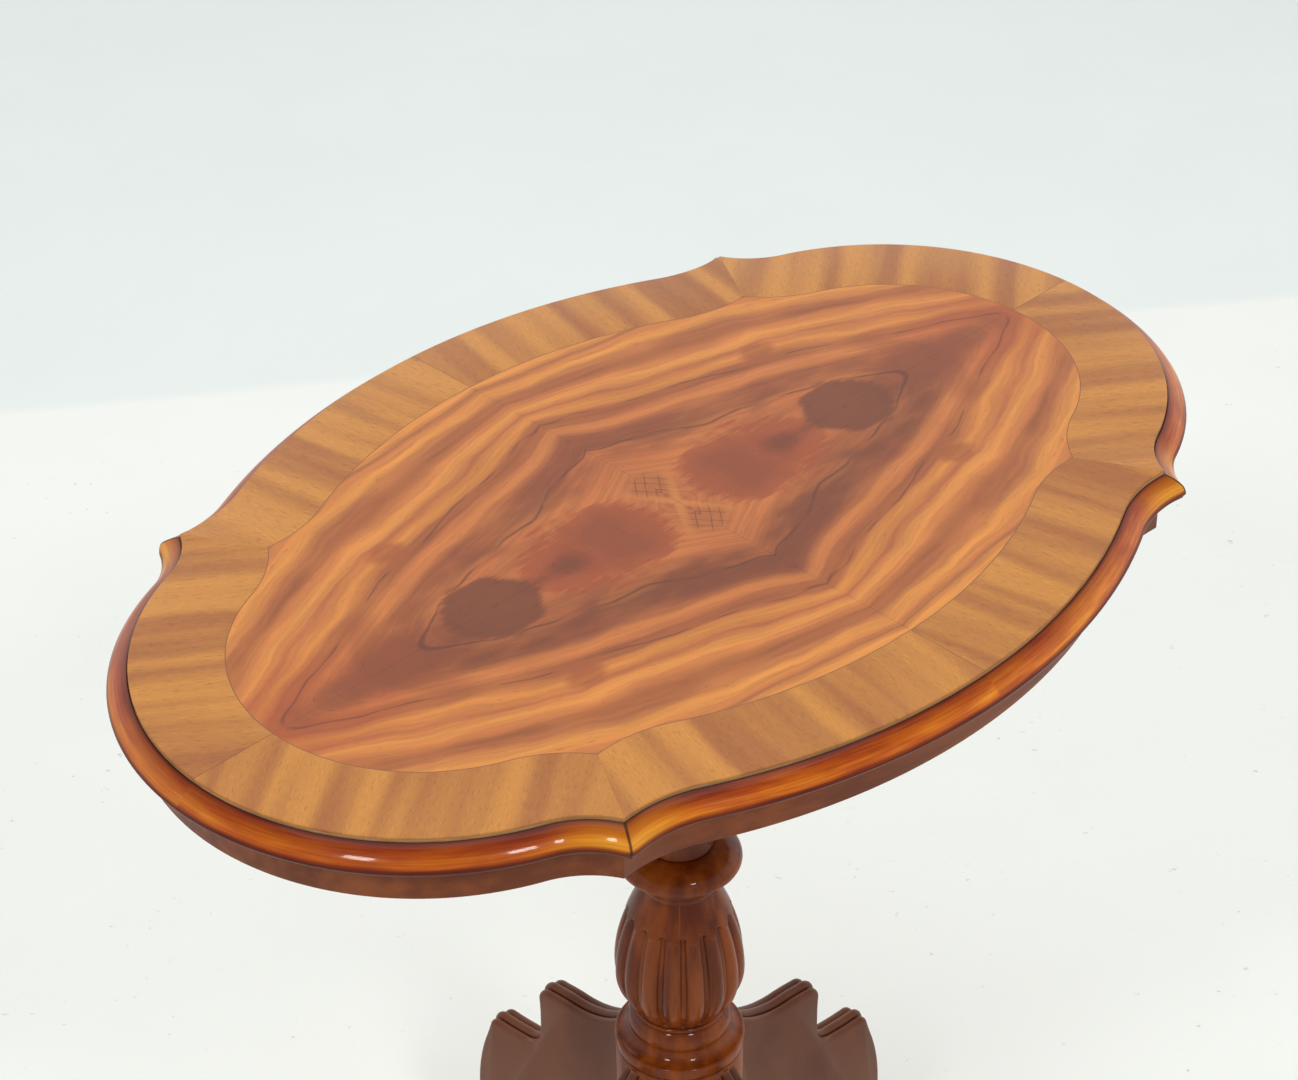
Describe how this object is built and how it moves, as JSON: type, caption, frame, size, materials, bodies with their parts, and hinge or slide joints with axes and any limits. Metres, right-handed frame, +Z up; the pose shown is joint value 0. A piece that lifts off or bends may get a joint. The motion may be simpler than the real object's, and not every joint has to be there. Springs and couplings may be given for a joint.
{
  "type": "tilt top table",
  "caption": "Table with a scalloped, crossbanded top that tips up on a turned, reeded column with plank legs.",
  "frame": {"origin": "on the floor, on the column's axis, midway between the feet", "axes": "+Z up; +X along the top's long axis; +Y towards the side of the pivot pins, so -Y is the side that lifts and carries the catch"},
  "size_m": [0.756, 0.501, 0.7],
  "materials": {
    "flame_veneer": "book-matched flame figured veneer under a clear polish",
    "band_veneer": "straight-grained crossbanding veneer under a clear polish",
    "edge_wood": "glossy polished honey-brown moulding",
    "apron_wood": "polished reddish brown",
    "core_wood": "bare, planed",
    "bearer_wood": "stained and lightly polished",
    "wedge_wood": "bare hardwood",
    "column_wood": "deep red-brown with a high polish",
    "leg_wood": "red-brown, softly polished",
    "brass": "dull polished brass",
    "steel": "plain steel",
    "iron": "black painted iron"
  },
  "bodies": {
    "base": {"strike_plate": "brass", "strike_screws": "brass", "tilt_block": "bearer_wood", "tenon_wedge": "wedge_wood", "pivot_pin_right": "bearer_wood", "pivot_pin_left": "bearer_wood", "column_shaft": "column_wood", "reeded_vase": "column_wood", "leg_block": "column_wood", "leg_right": "leg_wood", "leg_left": "leg_wood", "leg_back": "leg_wood", "leg_front": "leg_wood", "spider_plate": "iron", "spider_screws": "steel"},
    "top": {"leaf_ne": "flame_veneer", "leaf_nw": "flame_veneer", "leaf_sw": "flame_veneer", "leaf_se": "flame_veneer", "band_end_ne": "band_veneer", "band_end_nw": "band_veneer", "band_end_sw": "band_veneer", "band_end_se": "band_veneer", "band_side_ne": "band_veneer", "band_side_nw": "band_veneer", "band_side_sw": "band_veneer", "band_side_se": "band_veneer", "edge_end_ne": "edge_wood", "edge_end_nw": "edge_wood", "edge_end_sw": "edge_wood", "edge_end_se": "edge_wood", "edge_side_ne": "edge_wood", "edge_side_nw": "edge_wood", "edge_side_sw": "edge_wood", "edge_side_se": "edge_wood", "core_board": "core_wood", "apron_right": "apron_wood", "apron_left": "apron_wood", "apron_back": "apron_wood", "apron_front": "apron_wood", "glue_blocks": "core_wood", "bearer_right": "bearer_wood", "bearer_left": "bearer_wood", "bearer_screws": "steel", "catch_case": "brass", "catch_screws": "brass", "catch_leaf_spring": "steel"},
    "catch_bolt": {"catch_bolt": "steel", "catch_knob": "brass"}
  },
  "joints": [
    {"name": "top_tilt", "type": "hinge", "parent": "base", "child": "top", "pos_m": [0, 0.06, 0.668], "axis": [-1, 0, 0], "range_deg": [0, 90]},
    {"name": "bolt_slide", "type": "slide", "parent": "top", "child": "catch_bolt", "axis": [0, 1, 0], "range_m": [0, 0.008]}
  ]
}
